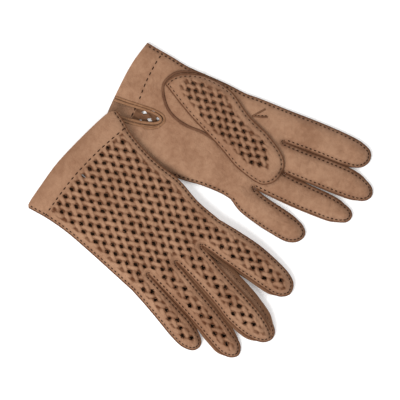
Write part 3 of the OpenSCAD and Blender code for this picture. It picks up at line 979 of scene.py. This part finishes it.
class GLOVES_OT_seams(bpy.types.Operator):
    """Sews the side seams, the finger seams and the cuff hems"""

    bl_idname = "gloves.seams"
    bl_label = "Seams"

    def execute(self, context):
        leather, _, sewing = settings_now()
        for side, glove in GLOVES.items():
            upper = glove.seams(True)
            bm = bmesh.new()
            sew(bm, glove, glove.lines["index_side"], -1.0, sewing, True, *upper)
            sew(bm, glove, glove.lines["little_side"], -1.0, sewing, True, *upper)
            self.hem(bm, glove, upper)
            self.tacks(bm, glove, sewing, upper)
            self.quirk(bm, glove, sewing, glove.seams(side == "left"))
            piece = thread_object(f"{side}_hand_seam_thread", bm, finishes(leather))
            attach(piece, f"{side}_hand")
            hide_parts(f"{side}_hand_stitches")
            for finger in FINGERS:
                bm = bmesh.new()
                line = glove.lines[finger]
                if side == "right" and finger == "middle":
                    tip = int(np.argmax(line[:, 1]))
                    edge = smooth_line(OPEN_FOURCHETTE)
                    sew(bm, glove, edge, 1.0, sewing, True, *upper)
                    sew(bm, glove, line[tip:], 1.0, sewing, True, *upper)
                    self.strip_edge(bm, glove, line[:tip], sewing)
                else:
                    sew(bm, glove, line, 1.0, sewing, True, *upper)
                piece = thread_object(f"{side}_{finger}_seam_thread", bm, finishes(leather))
                bend_with(piece, side, finger, *BEND[side])
                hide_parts(f"{side}_{finger}_stitches")
        return {"FINISHED"}

    def tacks(self, bm, glove, sewing, upper):
        """A few close stitches where each slit between two fingers ends."""
        for x, y in glove.crotches:
            spots = np.array([(x - 1.6, y - 0.6), (x, y - 2.0), (x + 1.6, y - 0.6)])
            way = np.array([(0.6, -0.8), (1, 0), (0.6, 0.8)])
            z, _ = glove.heights(spots, True, *upper)
            stitch_row(bm, glove, spots, z, way, 2.2 * MM, 1.1 * MM, sewing.height * MM)

    def quirk(self, bm, glove, sewing, upper):
        """The two short seams of the quirk, the small gusset where thumb and palm part."""
        corner = quirk_points(glove.side, [(-33.5, 113.5), (-41.5, 119.5), (-37.5, 123.5)])
        for end in corner[1:]:
            for k in (0.12, 0.4, 0.68, 0.96):
                spot = corner[:1] + (end - corner[0]) * k
                z, _ = glove.heights(spot, glove.side == "left", *upper)
                way = Vector((*(on_table(glove.side, end) - on_table(glove.side, corner[0]))[0], 0))
                add_stitch(bm, Vector(glove.place(spot, z)[0]), way, Vector((0, 0, 1)),
                           2.0 * MM, 1.1 * MM, sewing.height * MM)

    def strip_edge(self, bm, glove, line, sewing):
        """Stitches of the wide fourchette's outer seam."""
        spots, way = along_line(line, sewing.pitch, 6.0)
        spots = spots + sewing.inset * np.column_stack([way[:, 1], -way[:, 0]])
        z = SEAM_LOW_Z + 1.5 + glove.lift(spots)
        stitch_row(bm, glove, spots, z, way, sewing.length * MM, sewing.width * MM, sewing.height * MM)

    def hem(self, bm, glove, upper):
        """The long running stitches of the cuff hem."""
        spots, way = along_line(glove.lines["hem"], 5.4, 2.0)
        vent = np.array([glove.side == "left" and -8.5 < x < 17 for x, _ in spots])
        lower = glove.heights(spots, False, *glove.seams(False))[0] + 1.45
        z = np.where(vent, lower, glove.heights(spots, True, *upper)[0])
        stitch_row(bm, glove, spots, z, way, 3.5 * MM, 1.3 * MM, 0.9 * MM)


# ---------------------------------------------------------------- stage

def rolled(name, glove, path, heights, radius, squash, sides, finishes_, finish):
    """A roll of leather along a path in the pattern, with painted shade on all but its crest."""
    bm = bmesh.new()
    bmesh.ops.create_grid(bm, x_segments=len(path) - 1, y_segments=sides, size=0.5)
    way = np.gradient(path, axis=0)
    way = way / np.linalg.norm(way, axis=1)[:, None]
    layer = bm.verts.layers.float.new("shade")
    for v in bm.verts:
        i = round((v.co.x + 0.5) * (len(path) - 1))
        turn = 2 * math.pi * (v.co.y + 0.5)
        spot = path[i] + radius * math.sin(turn) * np.array([way[i, 1], -way[i, 0]])
        # Painted shade on the roll's flanks and far side; only its crest stays light
        v[layer] = 0.75 * (1 - ease((math.cos(turn) + 0.15) / 0.7))
        v.co = glove.place(spot[None, :], np.array([heights[i] + squash * radius * math.cos(turn)]))[0]
    bmesh.ops.remove_doubles(bm, verts=bm.verts, dist=0.01 * MM)
    ends = [e for e in bm.edges if e.is_boundary]
    bmesh.ops.holes_fill(bm, edges=ends, sides=0)
    bmesh.ops.recalc_face_normals(bm, faces=bm.faces)
    for face in bm.faces:
        face.smooth = True
    mesh = bpy.data.meshes.new(name)
    bm.to_mesh(mesh)
    bm.free()
    return new_object(name, mesh, [finishes_[finish]])


class GLOVES_OT_cuffs(bpy.types.Operator):
    """Builds the edges turned in at the cuffs and the piping round the wrist vents"""

    bl_idname = "gloves.cuffs"
    bl_label = "Cuffs"

    def execute(self, context):
        leather, _, _ = settings_now()
        for side, glove in GLOVES.items():
            palm_up = side == "left"
            for top in (True, False):
                sewn = glove.seams(top)
                name = "palm" if top == palm_up else "back"
                piece = self.facing(glove, f"{side}_{name}_hem_facing", top, sewn, leather)
                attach(piece, f"{side}_hand")
                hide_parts(f"{side}_hand_{name}")
            self.piping(glove, palm_up, glove.seams(palm_up), leather)
        return {"FINISHED"}

    def facing(self, glove, name, top, sewn, leather):
        """The folded-in edge of the cuff, seen inside the glove's mouth and its vent."""
        inset = glove.lines["cuff"][1:-1] + np.array((0, 0.35))
        inset[:, 0] *= 0.965
        hem = glove.lines["hem"] + np.array((0, 1.0))
        hem[:, 0] *= 0.965
        holes = [vent_line(glove.side, VENT)] if top == (glove.side == "left") else []
        bm, _ = cut_sheet(np.vstack([inset, hem[::-1]]), holes, None, np.zeros(2), 0.0, None)
        xy = np.array([v.co[:2] for v in bm.verts])
        z, _ = glove.heights(xy, top, *sewn)
        gap = leather.thickness / MM + 0.12
        for v, spot in zip(bm.verts, glove.place(xy, z - gap if top else z + gap)):
            v.co = spot
        if top:
            bmesh.ops.reverse_faces(bm, faces=bm.faces)
        return make_sheet(name, bm, np.full(len(xy), 9.0), np.zeros(len(xy)), finishes(leather), 0.4 * MM)

    def piping(self, glove, top, sewn, leather):
        for name, radius in (("inner", 1.25), ("outer", 1.05), ("lap", 1.0)):
            path = vent_line(glove.side, PIPING[name])
            z = glove.heights(path, top, *sewn)[0] + (0.2 if top else -0.1)
            if name == "lap":
                z = z + (0.55 if top else -0.3)
            piece = rolled(f"{glove.side}_vent_piping_{name}", glove, path, z, radius, 0.75, 12,
                           finishes(leather), "piping")
            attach(piece, f"{glove.side}_hand")
            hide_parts(f"{glove.side}_vent_binding")


class GLOVES_OT_thumbs(bpy.types.Operator):
    """Builds the thumbs: a woven leaf folded over the palm, its palm side and its sewn base"""

    bl_idname = "gloves.thumbs"
    bl_label = "Thumbs"

    def execute(self, context):
        leather, _, sewing = settings_now()
        for side, glove in GLOVES.items():
            up = side == "left"
            sign = 1 if up else -1
            palm = glove.seams(up)
            leaf = thumb_points(side, smooth_line(THUMB_LEAF + THUMB_LEAF[:1]))[:-1]
            rim = densify(leaf, 0.8)

            def level(xy):
                return glove.heights(xy, up, *palm)[0]

            def leaf_height(xy):
                d, _ = nearest(xy, rim)
                puff = np.sqrt(1 - (1 - np.clip((d - FLANGE * 0.8) / 9.5, 0, 1)) ** 2)
                wrinkle = np.array([noise.noise(Vector((a / 11, b / 15, 5.2))) for a, b in xy])
                return level(xy) + sign * (2.3 + 3.4 * puff + 0.5 * wrinkle * ease((d - 2) / 5)), d

            self.woven_leaf(side, glove, up, leaf, leaf_height, settings_now())
            self.underside(side, glove, up, leaf, level, rim, leather)
            self.base(side, glove, up, level, leather)
            for k, end in enumerate(((-42.5, 120.5), (-37.0, 125.0))):
                path = quirk_points(side, smooth_line([(-32.5, 112.5), end], 0.8))
                welt = rolled(f"{side}_quirk_welt_{k + 1}", glove, path, level(path) + sign * 0.1, 0.8,
                              0.8 * sign, 8, finishes(leather), "welt")
                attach(welt, f"{side}_hand")
                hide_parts(f"{side}_hand_palm")
            self.stitches(side, glove, leaf_height, leather, sewing)
        return {"FINISHED"}

    def bend(self, piece, side):
        bend_with(piece, side, "thumb", -9.0, 9.0)

    def woven_leaf(self, side, glove, up, leaf, leaf_height, settings):
        leather, weave, _ = settings
        window_loop = thumb_points(side, THUMB_WINDOW)
        rim = densify(leaf, 0.8)

        def window(points):
            return inside(points, window_loop) & (nearest(points, rim)[0] > 5.5)

        origin = thumb_points(side, [(-26, 70)])[0]
        turn = thumb_turn(side) - math.pi / 2
        bm, inverse = cut_sheet(leaf, [], weave, origin, turn, window, scale=THUMB_WEAVE)
        xy = np.array([v.co[:2] for v in bm.verts])
        z, d = leaf_height(xy)
        near = np.minimum(nearest(xy, densify(window_loop, 0.8))[0], 4.0)
        amount = np.where(inside(xy, window_loop), 1.0, 1 - ease((near - 0.5) / 2.2)) * ease((d - 3) / 2)
        rise, shade = weave_relief(xy, inverse, origin, weave, amount)
        for v, spot in zip(bm.verts, glove.place(wobble(xy, amount), z + (rise if up else -rise))):
            v.co = spot
        if not up:
            bmesh.ops.reverse_faces(bm, faces=bm.faces)
        piece = make_sheet(f"{side}_thumb_woven_leaf", bm, d, shade, finishes(leather), leather.thickness)
        self.bend(piece, side)
        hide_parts(f"{side}_thumb_back", f"{side}_thumb_lattice")

    def underside(self, side, glove, up, leaf, level, rim, leather):
        """The side of the thumb that lies against the palm, from its hinge to its tip."""
        at = to_pattern(side, hinge(side, "thumb")[0])
        turn = thumb_turn(side)
        past = (leaf - at) @ np.array([math.cos(turn), math.sin(turn)])
        bm, _ = cut_sheet(leaf[past > 0.5], [], None, np.zeros(2), 0.0, None)
        xy = np.array([v.co[:2] for v in bm.verts])
        d, _ = nearest(xy, rim)
        sign = 1 if up else -1
        z = level(xy) + sign * (0.55 + 0.4 * (1 - ease((d - 1) / 3)))
        for v, spot in zip(bm.verts, glove.place(xy, z)):
            v.co = spot
        if up:
            bmesh.ops.reverse_faces(bm, faces=bm.faces)
        piece = make_sheet(f"{side}_thumb_palm_side", bm, d, np.zeros(len(xy)), finishes(leather),
                           0.35 * MM)
        self.bend(piece, side)
        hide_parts(f"{side}_thumb_palm")

    def base(self, side, glove, up, level, leather):
        """The rounded base sewn over the thumb hole, and the rolled seam round it."""
        arc = thumb_points(side, smooth_line(THUMB_BASE))
        sign = 1 if up else -1
        top_edge = thumb_points(side, [(-47, 64), (-40, 70), (-24, 76), (-12, 82)])
        bm, _ = cut_sheet(np.vstack([arc, top_edge]), [], None, np.zeros(2), 0.0, None)
        xy = np.array([v.co[:2] for v in bm.verts])
        d, _ = nearest(xy, arc)
        bulge = np.sqrt(1 - (1 - np.clip((d - 1.2) / 7, 0, 1)) ** 2)
        z = level(xy) + sign * (0.45 + 0.75 * bulge)
        for v, spot in zip(bm.verts, glove.place(xy, z)):
            v.co = spot
        if not up:
            bmesh.ops.reverse_faces(bm, faces=bm.faces)
        panel = make_sheet(f"{side}_thumb_base_panel", bm, d + 1.2, np.zeros(len(xy)), finishes(leather),
                           leather.thickness)
        height = level(arc) + sign * 0.75
        seam = rolled(f"{side}_thumb_base_seam", glove, arc, height, 1.25, 0.6 * sign, 10,
                      finishes(leather), "welt")
        for piece in (panel, seam):
            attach(piece, f"{side}_hand")
            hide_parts(f"{side}_thumb_base")

    def stitches(self, side, glove, leaf_height, leather, sewing):
        """The thumb's seam, sewn round the leaf."""
        bm = bmesh.new()
        line = thumb_points(side, smooth_line(THUMB_LEAF + THUMB_LEAF[:1]))
        spots, way = along_line(line, sewing.pitch * 1.15, 2.0)
        spots = spots + sewing.inset * np.column_stack([way[:, 1], -way[:, 0]])
        z, _ = leaf_height(spots)
        stitch_row(bm, glove, spots, z, way, 2.1 * MM, 1.0 * MM, sewing.height * MM)
        piece = thread_object(f"{side}_thumb_seam_thread", bm, finishes(leather))
        self.bend(piece, side)
        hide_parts(f"{side}_thumb_stitches")


class GLOVES_OT_stage(bpy.types.Operator):
    """Sets the plain floor, the soft lights and the camera"""

    bl_idname = "gloves.stage"
    bl_label = "Stage"

    def execute(self, context):
        stage = context.scene.glove_stage
        bm = bmesh.new()
        bmesh.ops.create_grid(bm, x_segments=1, y_segments=1, size=3.0)
        mesh = bpy.data.meshes.new("floor")
        bm.to_mesh(mesh)
        bm.free()
        material, tree = blank_material("plain_pale_floor")
        shader = add_node(tree, "ShaderNodeBsdfPrincipled",
                          {"Base Color": (*stage.floor_colour, 1.0), "Roughness": 0.8,
                           "Emission Color": (1.0, 1.0, 1.0, 1.0), "Emission Strength": 0.2})
        out = add_node(tree, "ShaderNodeOutputMaterial")
        tree.links.new(shader.outputs[0], out.inputs[0])
        new_object("floor", mesh, [material])
        self.light("key", (0.68, -0.05, 0.85), 0.7, 12.0)
        self.light("fill", (-0.5, -0.35, 0.95), 1.0, 5.0)
        world = bpy.data.worlds.new("studio")
        world.use_nodes = True
        world.node_tree.nodes["Background"].inputs["Color"].default_value = (1, 1, 1, 1)
        world.node_tree.nodes["Background"].inputs["Strength"].default_value = 0.5
        context.scene.world = world
        context.scene.view_settings.view_transform = "Standard"
        camera = bpy.data.cameras.new("camera")
        camera.type = "ORTHO"
        camera.ortho_scale = stage.view_width
        eye = bpy.data.objects.new("camera", camera)
        context.scene.collection.objects.link(eye)
        middle = on_table("right", (-45.5, 110.0))[0] * MM
        eye.location = (middle[0], middle[1], 1.2)
        eye.rotation_euler = (0, 0, stage.view_turn)
        context.scene.camera = eye
        return {"FINISHED"}

    def light(self, name, at, size, power):
        lamp = bpy.data.lights.new(name, "AREA")
        lamp.size = size
        lamp.energy = power
        holder = bpy.data.objects.new(name, lamp)
        bpy.context.scene.collection.objects.link(holder)
        holder.location = at
        holder.rotation_euler = Vector(at).to_track_quat("Z", "Y").to_euler()


class GLOVES_PT_panel(bpy.types.Panel):
    """Lists the steps that build the gloves"""

    bl_idname = "GLOVES_PT_panel"
    bl_label = "Gloves"
    bl_space_type = "VIEW_3D"
    bl_region_type = "UI"
    bl_category = "Gloves"

    def draw(self, context):
        for step in STEPS:
            self.layout.operator(step)


GROUPS = {
    "glove_leather": GloveLeather,
    "glove_weave": GloveWeave,
    "glove_sewing": GloveSewing,
    "glove_stage": GloveStage,
}
OPERATORS = (GLOVES_OT_hands, GLOVES_OT_fingers, GLOVES_OT_fourchettes, GLOVES_OT_cuffs,
             GLOVES_OT_thumbs, GLOVES_OT_seams, GLOVES_OT_stage)
STEPS = [operator.bl_idname for operator in OPERATORS]


def register():
    for name, group in GROUPS.items():
        bpy.utils.register_class(group)
        setattr(bpy.types.Scene, name, bpy.props.PointerProperty(type=group))
    for operator in OPERATORS:
        bpy.utils.register_class(operator)
    bpy.utils.register_class(GLOVES_PT_panel)


def unregister():
    bpy.utils.unregister_class(GLOVES_PT_panel)
    for operator in reversed(OPERATORS):
        bpy.utils.unregister_class(operator)
    for name, group in GROUPS.items():
        delattr(bpy.types.Scene, name)
        bpy.utils.unregister_class(group)


def main():
    register()
    for step in STEPS:
        group, name = step.split(".")
        getattr(getattr(bpy.ops, group), name)()


if __name__ == "__main__":
    main()
